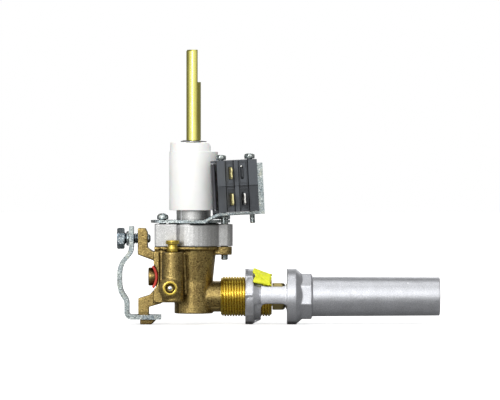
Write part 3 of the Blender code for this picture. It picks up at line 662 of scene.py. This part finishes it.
def sealing_paint():
    look = Finish("sealing paint", (0.84, 0.86, 0.03), 0.0, 0.5)
    look.blend(look.ranged(look.texture(2.0, 4), 0.45, 0.75), (0.68, 0.72, 0.01))
    look.blend(look.ranged(look.texture(0.5, 4, seed=3.0), 0.55, 0.75, 0.0, 0.6), (0.93, 0.95, 0.28))
    look.rough(look.texture(0.6, 3, seed=1.0), 0.38, 0.65)
    look.bump(look.texture(0.7, 4, seed=2.0), 0.12, 0.8)
    return look.material


def copper():
    look = Finish("copper", (0.62, 0.27, 0.13), 1.0, 0.3)
    look.blend(look.ranged(look.texture(1.0, 3), 0.4, 0.7), (0.45, 0.17, 0.08))
    look.rough(look.texture(0.4, 3), 0.22, 0.42)
    look.bump(look.texture(0.3, 2), 0.006, 0.5)
    return look.material


FORGED = forged_brass()
MACHINED = machined_brass()
# a rougher copy of the machined brass for the injector, made darker as painted shade, for it sits in shadow
# inside the mixing tube
DULL_BRASS_PAINTED_SHADE = machined_brass("dull brass, painted shade", (0.34, 0.28, 0.12), 0.34)
SPINDLE = spindle_brass()
BONNET = cast_aluminium("bonnet casting", (0.52, 0.52, 0.51), 0.65, 0.5)
MIXER = cast_aluminium("mixer casting", (0.56, 0.57, 0.60), 0.5, 0.42)
ZINC = zinc_plate()
STEEL = plain_steel()
BALL = bright_ball()
WHITE = white_moulding()
DARK = dark_moulding()
LEVER = dark_moulding("lever moulding", (0.022, 0.022, 0.026))
THREAD = thread_brass()
BLADE = blade_brass()
TINNED = zinc_plate("tinned brass", (0.80, 0.78, 0.74))
BOLT = zinc_plate("bolt plate", (0.26, 0.31, 0.33), 0.3)
BLACK_RUBBER = rubber("black rubber", (0.02, 0.02, 0.021))
RED_RUBBER = rubber("red rubber", (0.62, 0.045, 0.025))
PAINT = sealing_paint()
COPPER = copper()


# ---------------------------------------------------------------- tap body and outlet


def body_pieces():
    """The forging, its machined ball boss and pad, and its outlet thread."""
    body = welded(dress("tap_body", FORGED))
    body_low, body_high = box_mm("tap_body")
    ball_low, ball_high = box_mm("ball_plug")
    end = body_high.x
    ball = (ball_low + ball_high) / 2
    ball_place = axes_place((ball.x, body_low.y, ball.z), X, Z, -Y)
    zone = rectangle(9.5, 13, THREAD_START + 0.6, end + 2)
    zone = make("thread zone", turned(zone, 96), OUTLET_PLACE)
    rib = [(9.8, -9.5), (11.2, -9.5), (11.2, -2.6), (12.9, 12.9), (11.4, 12.9)]
    rib = make("rib", turned(rib, 6, start=-120, sweep=6), SPINDLE_PLACE)
    cone = [(0, -6.0), (6.3, -6.0), (6.3, -2.4), (4.1, 0.0), (0, 0.0)]
    cone = make("ball boss", turned(cone, 64), ball_place)
    pocket = make("ball pocket", turned(rectangle(0, 2.7, -1.9, 1.0), 48), ball_place)
    combine(body, "UNION", rib, cone)
    valley_place = axes_place((12.0, -12.6, 0), X, Y, Z)
    valley = turned(rectangle(0, 1.1, -8.5, 15.6), 24)
    valley = make("valley beside the bypass boss", valley, valley_place)
    combine(body, "DIFFERENCE", zone, pocket, valley)
    cast(body, 0.3, 8)
    thread = threaded(
        11.0, 1.5, THREAD_START, end - 0.05, core=9.0, around=128, per_turn=12, chamfer=1.3
    )
    make("outlet_thread", thread, OUTLET_PLACE, THREAD)
    seat = rounded(rectangle(2.6, 3.95, -1.2, 0.15), 0.3)
    make("ball_seat_ring", turned(seat, 72), ball_place, MACHINED)
    sphere = bmesh.new()
    bmesh.ops.create_uvsphere(sphere, u_segments=48, v_segments=32, radius=2.2)
    at = axes_place(ball, X, Y, Z)
    make("ball_plug_ball", sphere, at, BALL, stands_for=["ball_plug"])


def gasket():
    """The red seal in the saddle, bent round the pipe, with its gas hole."""
    reach = box_mm("inlet_gasket")[1].y
    outline = rounded(rectangle(8.8, 10.2, -reach, reach), 0.5)
    piece = make(
        "inlet_gasket_seal", turned(outline, 64, start=-38, sweep=76), FROM_FRONT, RED_RUBBER,
        stands_for=["inlet_gasket"],
    )
    hole = turned(rectangle(0, 5.35, 0, 20), 64)
    hole = make("gasket hole", hole, axes_place((0, 0, 0), Y, Z, X))
    combine(piece, "DIFFERENCE", hole)


def mixer():
    """The cast tube: two collars, spanner flats and two air windows with a shallow step beside each arm."""
    end = TUBE_HIGH.x
    outside = [
        (14.4, GRIP_LOW), (15.0, 59.8), (15.0, GRIP_HIGH), (12.8, WINDOW_LOW), (14.5, WINDOW_LOW),
        (14.5, WINDOW_HIGH), (15.4, WINDOW_HIGH), (15.4, COLLAR_HIGH), (15.0, 86.5), (12.3, 89.6),
        (12.2, 94.7), (11.0, 94.9), (10.6, end),
    ]
    inside = [
        (9.3, end), (9.4, 93.8), (7.6, 85.8), (7.6, 83.4), (12.0, WINDOW_HIGH), (12.0, 67.1),
        (11.3, WINDOW_LOW), (11.3, GRIP_LOW),
    ]
    tube = make(
        "mixer_casting", turned(outside + inside, 128), OUTLET_PLACE, MIXER,
        stands_for=["mixer_tube"],
    )
    grip = [(15.4, 58.2), (15.4, 62.3), (12.5, 62.3), (12.5, 58.2)]
    grip = make("grip", turned(grip, 8, -MIXER_TURN), OUTLET_PLACE)
    flats = [(13.3, 87.2), (13.3, 94.6), (9.8, 94.6), (9.8, 87.2)]
    flats = make("flats", turned(flats, 8, 22.5 - MIXER_TURN), OUTLET_PLACE)
    combine(tube, "UNION", grip, flats)
    lay = Matrix(((1, 0, 0, 0), (0, 0, -1, 0), (0, 1, 0, 0), (0, 0, 0, 1)))  # length along own Y
    for side in (-1, 1):
        near, far = sorted((MIXER_ARM / 2 * side, 20 * side))
        outline = rounded(rectangle(near, far, WINDOW_LOW, WINDOW_HIGH), 3.2, 8)
        window = moved(extruded(outline, -20, 20), about_z(-MIXER_TURN) @ lay)
        combine(tube, "DIFFERENCE", make(f"window {side}", window, OUTLET_PLACE))
    step = rounded(rectangle(12.5, 20, 63.0, 68.0), 1.0)
    for start in (3, 111, 183, 291):  # beside the arms
        sector = turned(step, 16, start - MIXER_TURN, sweep=66)
        combine(tube, "DIFFERENCE", make(f"step {start}", sector, OUTLET_PLACE))
    cast(tube, 0.28, 3)


def injector():
    """The brass nozzle: a hexagon with coned ends, its stem in the outlet and its nose in the tube."""
    low, high = box_mm("injector")
    foot, tip = low.x, high.x
    hexed = make(
        "injector_hex", hexagon(14.6, foot + 7.3, foot + 14.2), OUTLET_PLACE, DULL_BRASS_PAINTED_SHADE
    )
    cone = [
        (0, foot + 7), (8.0, foot + 7), (8.8, foot + 8), (8.8, foot + 11.6), (6.6, foot + 14.4),
        (0, foot + 14.4),
    ]
    combine(hexed, "INTERSECT", make("injector cone", turned(cone, 72), OUTLET_PLACE))
    stem = turned(rounded(rectangle(0, 4.4, foot, foot + 8), 0.3), 64)
    nose = [
        (0, foot + 12.5), (6.4, foot + 12.5), (6.4, foot + 14), (3.6, tip - 0.2), (1.1, tip),
        (0.9, tip - 1.5), (0, tip - 1.5),
    ]
    body = merged(stem, turned(rounded(nose, 0.25), 72))
    make("injector_nozzle", body, OUTLET_PLACE, DULL_BRASS_PAINTED_SHADE, stands_for=["injector"])


def paint():
    """A brushed dab of sealing paint from the collar down over the end of the thread."""
    outline = [
        (15.55, 62.6), (15.95, 63.6), (14.4, 67.3), (12.6, 72.0), (12.0, 72.3), (11.35, 72.2),
        (11.35, 67.0), (13.1, 66.9), (15.2, 62.7),
    ]
    dab = turned(outline, 48, start=192, sweep=46)
    long_edges = [edge for edge in dab.edges if edge.calc_length() > 0.9]
    bmesh.ops.subdivide_edges(dab, edges=long_edges, cuts=3, use_grid_fill=True)
    noise.seed_set(4)  # else the noise differs from run to run
    for vert in dab.verts:
        broad, fine = noise.noise_vector(vert.co * 0.3), noise.noise_vector(vert.co * 0.9)
        ragged = broad * 1.3 + fine * 0.7
        vert.co += Vector((ragged.x * 0.4, ragged.y * 0.4, ragged.z))
    piece = make(
        "locking_paint_dab", dab, OUTLET_PLACE, PAINT,
        stands_for=["locking_paint"], angle=60,
    )
    cast(piece, 0.25, 6)


# ---------------------------------------------------------------- bonnet, bracket and screws


def screw(name, place, head, shank, low, high, pitch, drive="cross", top=0.0, chamfer=0.5):
    """A screw about +Z: its turned head with a driver recess, its thread and the neck between them."""
    seat = head[0][1]
    neck = turned(rectangle(0, shank - 0.05, high - 0.2, seat + 0.3), 48)
    thread = threaded(shank, pitch, low, high, around=48, per_turn=8, chamfer=chamfer)
    make(f"{name}_thread", merged(thread, neck), place, ZINC)
    profile = rounded([(0.01, seat)] + head + [(0.01, top)], 0.35, 4)[1:-1]
    profile = [(0, seat)] + profile + [(0, top)]
    piece = make(
        f"{name}_head", turned(profile, 64), place, ZINC, stands_for=[name]
    )
    half_width, half_length, turns = (0.45, 2.1, (20, 110)) if drive == "cross" else (0.4, 6, (55,))
    for turn in turns:
        recess = boxed((-half_length, -half_width, top - 1.3), (half_length, half_width, top + 1))
        recess = moved(recess, about_z(turn))
        combine(piece, "DIFFERENCE", make(f"{name} recess {turn}", recess, place))


def bonnet_and_bracket():
    """The cast bonnet, the bent bracket on it, and the two screws that hold both."""
    cast(welded(dress("bonnet", BONNET)), 0.3, 4)
    bevelled(welded(dress("switch_bracket", ZINC)), 0.5, 4, 20)
    for node in ("bonnet_screw_left", "bonnet_screw_right"):
        low, high = box_mm(node)
        seat = high.z - 3.3
        middle = (low + high) / 2
        place = axes_place((middle.x, middle.y, 0), X, Y, Z)
        head = [(3.15, seat), (3.2, seat + 1.3), (2.9, seat + 2.3), (2.0, high.z - 0.3), (1.0, high.z)]
        screw(node, place, head, 2.0, low.z, seat - 2.2, 0.7, top=high.z)


# ---------------------------------------------------------------- spindle and sleeve


def spindle_pieces():
    """The white sleeve with its relief, the rod with its flat and tongue, and the notched ring."""
    low, high = box_mm("cam_sleeve")
    step = high.z - 5.0
    outline = [
        (11.0, low.z), (13.4, low.z), (13.4, step), (12.9, step), (12.9, high.z), (4.3, high.z),
        (4.3, 66), (11.0, 66),
    ]
    sleeve = make(
        "cam_sleeve_moulding", turned(rounded(outline, 0.3), 144), SPINDLE_PLACE, WHITE,
        body="spindle", stands_for=["cam_sleeve"],
    )
    relief = [
        (9.3, step), (9.3, high.z - 1.6), (7.3, high.z + 0.4), (7.3, high.z + 6), (20, high.z + 6),
        (20, step),
    ]
    relief = make("sleeve relief", extruded(rounded(relief, 0.3), -20, 20), SPINDLE_FRONT)
    combine(sleeve, "DIFFERENCE", relief)
    bevelled(sleeve, 0.25)

    low, high = box_mm("spindle")
    flat_x = MOUNTS["spindle_flat"]["pos_m"][0] / MM
    shape = [
        (0, 12), (3, 12), (3, 24.7), (6.5, 24.7), (6.5, 26.7), (4, 26.7), (4, high.z - 0.8),
        (3.4, high.z), (0, high.z),
    ]
    rod = make(
        "spindle_rod", turned(rounded(shape, 0.15, 2), 96), SPINDLE_PLACE, SPINDLE,
        body="spindle", stands_for=["spindle"],
    )
    tongue = make("spindle tongue", boxed((-2.6, -1.3, low.z), (2.6, 1.3, 13.0)), SPINDLE_PLACE)
    combine(rod, "UNION", tongue)
    flat = boxed((flat_x, -6, FLAT_LOW), (flat_x + 8, 6, high.z + 5))
    combine(rod, "DIFFERENCE", make("spindle flat", flat, WORLD))
    bevelled(rod, 0.2)

    low, high = box_mm("spindle_clip")
    shape = [(4.3, low.z), (7.1, low.z), (7.1, low.z + 0.5), (5.2, high.z), (4.3, high.z)]
    clip = make(
        "spindle_clip_ring", turned(rounded(shape, 0.12, 2), 96), SPINDLE_PLACE, STEEL,
        body="spindle", stands_for=["spindle_clip"],
    )
    for turn in (30, 150, 270):
        notch = moved(boxed((4.0, -0.5, low.z - 1), (5.8, 0.5, high.z + 1)), about_z(turn))
        combine(clip, "DIFFERENCE", make(f"clip notch {turn}", notch, SPINDLE_PLACE))


def bypass():
    """The low-flame screw: a tapered tip, a groove for its ring, and a slotted head."""
    at = joint_place("bypass_turn")
    place = axes_place((at.x, at.y, 0), X, Y, Z)
    low, high = box_mm("bypass_screw")
    top = high.z
    head = [(2.4, 14.1), (3.0, 14.1), (3.0, 17.0), (2.6, 17.0), (2.6, 18.2), (3.7, 18.2), (3.7, top)]
    shape = rounded([(1.2, low.z), (2.4, low.z + 2)] + head, 0.25)[:-1]
    shape = [(0, low.z)] + shape + [(3.4, top), (0, top)]
    piece = make(
        "bypass_needle", turned(shape, 72), place, MACHINED,
        body="bypass_screw", stands_for=["bypass_screw"],
    )
    slot = make("bypass slot", boxed((-5, -0.5, top - 1.3), (5, 0.5, top + 2)), place)
    groove = make("bypass groove", turned(rectangle(1.3, 5, 8.0, 9.4), 48), place)
    combine(piece, "DIFFERENCE", slot, groove)
    bevelled(piece, 0.12)


# ---------------------------------------------------------------- pipe clamp


def clamp():
    """The bent strap with its slot, the hexagon screw and its collar."""
    hook = joint_place("strap_swing")
    inner_face = [
        (11.9, -20.9), (-4.8, -20.9), (-5.6, -20.1), (-5.6, -12.6), (-8.9, -7.8), (-9.6, -4.4),
        (-9.6, 3.2), (-8.4, 7.0), (-3.9, 12.4), (-3.1, 15.2), (-3.1, 27.6),
    ]
    line = bent_line(inner_face, 2.2)
    half = box_mm("clamp_strap")[1].y
    bar = extruded(band(line[::-1], -2.5), -half, half)
    strap = make(
        "clamp_strap_bar", bar, FROM_FRONT, ZINC,
        body="clamp_strap", stands_for=["clamp_strap"], angle=40,
    )
    slot = make("strap slot", boxed((-1.2, -5.3, hook.z - 5), (5.8, 5.3, hook.z + 5)), WORLD)
    along = axes_place(joint_place("clamp_screw_turn"), Y, Z, X)
    hole = make("strap hole", turned(rectangle(0, 3.6, -10, 5), 48), along)
    combine(strap, "DIFFERENCE", slot, hole)
    bevelled(strap, 0.9, 4)

    head = hexagon(10.0, -12.25, -8.2)
    thread = threaded(2.9, 1.0, -7.6, 4.6, around=64, per_turn=10, chamfer=0.5)
    neck = turned([(0, -8.6), (3.4, -8.6), (3.4, -7.9), (2.5, -7.3), (0, -7.3)], 64)
    end = turned(rounded([(0, 4.2), (2.45, 4.2), (2.4, 5.4), (1.6, 6.1), (0, 6.2)], 0.4), 48)
    make(
        "clamp_screw_bolt", merged(head, thread, neck, end), along, BOLT,
        body="clamp_screw", stands_for=["clamp_screw"],
    )
    ring = turned(rounded([(3.2, -7.2), (3.8, -7.2), (4.2, -6.0), (3.2, -6.0)], 0.2), 72)
    make(
        "clamp_collar_ring", ring, along, ZINC,
        body="clamp_washer", stands_for=["clamp_collar"],
    )


# ---------------------------------------------------------------- switches


def in_switches(u, v, w):
    """A place in the switches' own frame."""
    return SWITCH_PLACE @ Matrix.Translation(Vector((u, v, w)) * MM)


def moulded_frame(left, right, low, high):
    """A thin raised frame on the case's front, round a terminal."""
    front, back, width = -0.25, 0.3, 0.35
    bars = (
        (left, left + width, low, high),
        (right - width, right, low, high),
        (left + width, right - width, low, low + width),
        (left + width, right - width, high - width, high),
    )
    return merged(*[boxed((x0, front, z0), (x1, back, z1)) for x0, x1, z0, z1 in bars])


def switches():
    """The two stacked cases with their mould grooves, blades, frames, screws and lever."""
    grooves = [
        boxed((u - 0.15, -0.5, 0.4), (u + 0.15, depth, 2 * CASE_HEIGHT)) for u, depth in CASE_GROOVES
    ]
    grooves = make("case grooves", merged(*grooves), SWITCH_PLACE)
    for level in ("lower", "upper"):
        case = welded(dress(f"{level}_switch_case", DARK))
        combine(case, "DIFFERENCE", grooves)
        bevelled(case, 0.25)
        bevelled(welded(dress(f"{level}_switch_cover", DARK)), 0.3)
        dress(f"{level}_switch_plunger", DARK)
        dress(f"{level}_switch_leaf", COPPER)
    for level, low in (("lower", 0.0), ("upper", CASE_HEIGHT + 0.3)):
        for letter, u in (("a", 7.2), ("b", 13.8)):
            node = f"{level}_switch_blade_{letter}"
            if node == "upper_switch_blade_b":  # only a stub, and its rivet is a piece of its own; the tinned stub wears the dark case moulding as painted shade, for it lies in the recess's shadow
                bevelled(welded(dress(node, DARK)), 0.12, 2)
                continue
            blade = bevelled(welded(dress(node, TINNED if letter == "b" else BLADE)), 0.12, 2)
            hole = turned(rectangle(0, 0.8, -2, 2), 32)
            across = in_switches(u, -4.0, low + CASE_HEIGHT / 2) @ Matrix.Rotation(math.radians(90), 4, "Y")
            combine(blade, "DIFFERENCE", make(f"{node} hole", hole, across))
        for i, (left, right) in enumerate(((5.0, 9.2), (12.0, 16.8))):
            bars = moulded_frame(left, right, low + 1.0, low + CASE_HEIGHT - 1.0)
            make(f"{level}_terminal_frame_{i}", bars, SWITCH_PLACE, DARK)
    # a dark lip closes the seam between the two mouldings
    seam = boxed((0.6, 0.7, CASE_HEIGHT - 0.2), (21.5, 11.2, CASE_HEIGHT + 0.5))
    make("switch_seam", seam, SWITCH_PLACE, LEVER)
    rivet = turned(rounded([(0, -0.4), (0.55, -0.4), (0.5, 0.25), (0, 0.4)], 0.15), 32)
    facing = in_switches(13.6, -0.2, 2 * CASE_HEIGHT - 3.3) @ Matrix.Rotation(math.radians(90), 4, "X")
    make("upper_terminal_rivet", rivet, facing, TINNED)
    top = 2 * CASE_HEIGHT + 0.6
    for node, u in zip(("switch_screw_left", "switch_screw_right"), SWITCH_SCREWS):
        head = [(2.8, top), (2.9, top + 1.9), (2.5, top + 2.6), (1.4, top + 2.9)]
        screw(node, in_switches(u, 5.5, 0), head, 1.5, -6.6, -0.6, 0.5, "slot", top + 2.9, 0.4)
    bevelled(welded(dress("switch_lever", LEVER)), 0.2)
    dress("lever_pin", STEEL)


def inside_pieces():
    """What is hidden in the tap."""
    for node in ("plug_cone", "magnet_can", "magnet_base"):
        dress(node, MACHINED)
    for node in ("push_rod", "valve_disc", "magnet_core"):
        dress(node, STEEL)
    springs = (  # node, body, joint, radii at foot and top, wire's radius, turns, gap under it
        ("plug_spring", "plug", "spindle_push", (4.9, 4.9), 0.45, 4.5, 0),
        ("valve_spring", "tap", "safety_lift", (1.9, 3.4), 0.15, 3.0, 0.25),
    )
    for node, body, joint, radii, wire, turns, gap_below in springs:
        low, high = box_mm(node)
        coil = spring(low.z, high.z, radii, wire, turns)
        coil = make(
            f"{node}_coil", coil, SPINDLE_PLACE, STEEL, body, stands_for=[node]
        )
        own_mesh(coil)
    for node in ("spindle_seal", "bypass_oring", "valve_seal"):
        dress(node, BLACK_RUBBER)
    dress("contact_insulator", DARK)
    dress("magnet_coil", COPPER)


body_pieces()
gasket()
mixer()
injector()
paint()
bonnet_and_bracket()
spindle_pieces()
bypass()
clamp()
switches()
inside_pieces()


# ---------------------------------------------------------------- camera, lights and floor, in metres


def camera():
    """A long lens level with the switches, looking along the supply pipe."""
    distance, elevation = 2.2, math.radians(0.8)
    sensor = 36  # in millimetres
    view_width = 0.275  # of the picture, at the object
    data = bpy.data.cameras.new("camera")
    data.sensor_width = sensor
    data.lens = sensor * distance / view_width
    data.clip_end = 50
    obj = bpy.data.objects.new("camera", data)
    bpy.context.scene.collection.objects.link(obj)
    target = Vector((0.0608, 0, 0.0421))  # in the middle of the picture
    obj.location = target + Vector((0, -distance * math.cos(elevation), distance * math.sin(elevation)))
    obj.rotation_euler = (math.pi / 2 - elevation, 0, 0)
    bpy.context.scene.camera = obj


def area_light(name, place, target, size, power):
    data = bpy.data.lights.new(name, "AREA")
    data.shape = "RECTANGLE"
    data.size, data.size_y = size
    data.energy = power
    obj = bpy.data.objects.new(name, data)
    bpy.context.scene.collection.objects.link(obj)
    obj.location = place
    obj.rotation_euler = (Vector(target) - Vector(place)).to_track_quat("-Z", "Y").to_euler()


def room():
    """White surroundings that light the object most from the front, and look evenly white."""
    world = bpy.data.worlds.new("studio")
    bpy.context.scene.world = world
    world.use_nodes = True
    nodes, links = world.node_tree.nodes, world.node_tree.links
    lighting = nodes["Background"]
    lighting.inputs["Color"].default_value = (1, 1, 1, 1)
    direction = nodes.new("ShaderNodeTexCoord").outputs["Generated"]
    facing = nodes.new("ShaderNodeVectorMath")
    facing.operation = "DOT_PRODUCT"
    facing.inputs[1].default_value = Vector((-0.3, -1, 0.12)).normalized()
    fade = nodes.new("ShaderNodeMapRange")
    fade.interpolation_type = "SMOOTHSTEP"
    for name, value in (("From Min", 0.15), ("From Max", 0.85), ("To Min", 0.3), ("To Max", 1.7)):
        fade.inputs[name].default_value = value
    links.new(direction, facing.inputs[0])
    links.new(facing.outputs["Value"], fade.inputs["Value"])
    links.new(fade.outputs["Result"], lighting.inputs["Strength"])
    backdrop = nodes.new("ShaderNodeBackground")
    backdrop.inputs["Strength"].default_value = 1.0
    backdrop.inputs["Color"].default_value = (1, 1, 1, 1)
    mix = nodes.new("ShaderNodeMixShader")
    links.new(nodes.new("ShaderNodeLightPath").outputs["Is Camera Ray"], mix.inputs["Fac"])
    links.new(lighting.outputs[0], mix.inputs[1])
    links.new(backdrop.outputs[0], mix.inputs[2])
    links.new(mix.outputs[0], nodes["World Output"].inputs["Surface"])


def paper_floor():
    """White paper under the lowest point. It looks bright, but throws back only a third of the light."""
    bm = bmesh.new()
    low = cad_box[0].z / MM
    bmesh.ops.create_grid(bm, x_segments=8, y_segments=8, size=3500, matrix=Matrix.Translation((0, 0, low)))
    paper = Finish("floor paper", (0.94, 0.94, 0.94), 0.0, 0.9, Emission_Strength=0.55)
    paper.shader.inputs["Emission Color"].default_value = (1, 1, 1, 1)
    paper.blend(paper.ranged(paper.texture(40, 2), 0.4, 0.7, 0.0, 0.3), (0.92, 0.92, 0.92))
    shade = paper.node("ShaderNodeBsdfDiffuse")
    shade.inputs["Color"].default_value = (0.35, 0.35, 0.35, 1)
    seen = paper.node("ShaderNodeMixShader")
    paper.link(paper.node("ShaderNodeLightPath").outputs["Is Camera Ray"], seen.inputs["Fac"])
    paper.link(shade.outputs[0], seen.inputs[1])
    paper.link(paper.shader.outputs[0], seen.inputs[2])
    paper.link(seen.outputs[0], paper.tree.nodes["Material Output"].inputs["Surface"])
    bmesh.ops.scale(bm, vec=(MM, MM, MM), verts=bm.verts)
    mesh = bpy.data.meshes.new("floor")
    bm.to_mesh(mesh)
    bm.free()
    mesh.shade_smooth()
    mesh.materials.append(paper.material)
    obj = bpy.data.objects.new("floor", mesh)
    bpy.context.scene.collection.objects.link(obj)


def studio():
    """The room, soft lights in front, above and behind, and the floor."""
    bpy.context.scene.view_settings.view_transform = "Standard"
    room()
    centre = (0.06, 0, 0.03)
    area_light("front", (-0.42, -1.2, 0.35), centre, (0.35, 0.5), 6)
    area_light("top", (0.06, -0.1, 1.1), centre, (0.8, 0.5), 2)
    area_light("back", (0.3, 1.2, 0.55), centre, (0.7, 0.6), 2.5)
    paper_floor()


# cutters stay where they are when a piece moves, so they are used up before the poses
for piece in [obj for obj in bpy.context.scene.objects if obj.modifiers and not obj.hide_render]:
    if piece.name not in NODES:
        settled(piece)
camera()
studio()
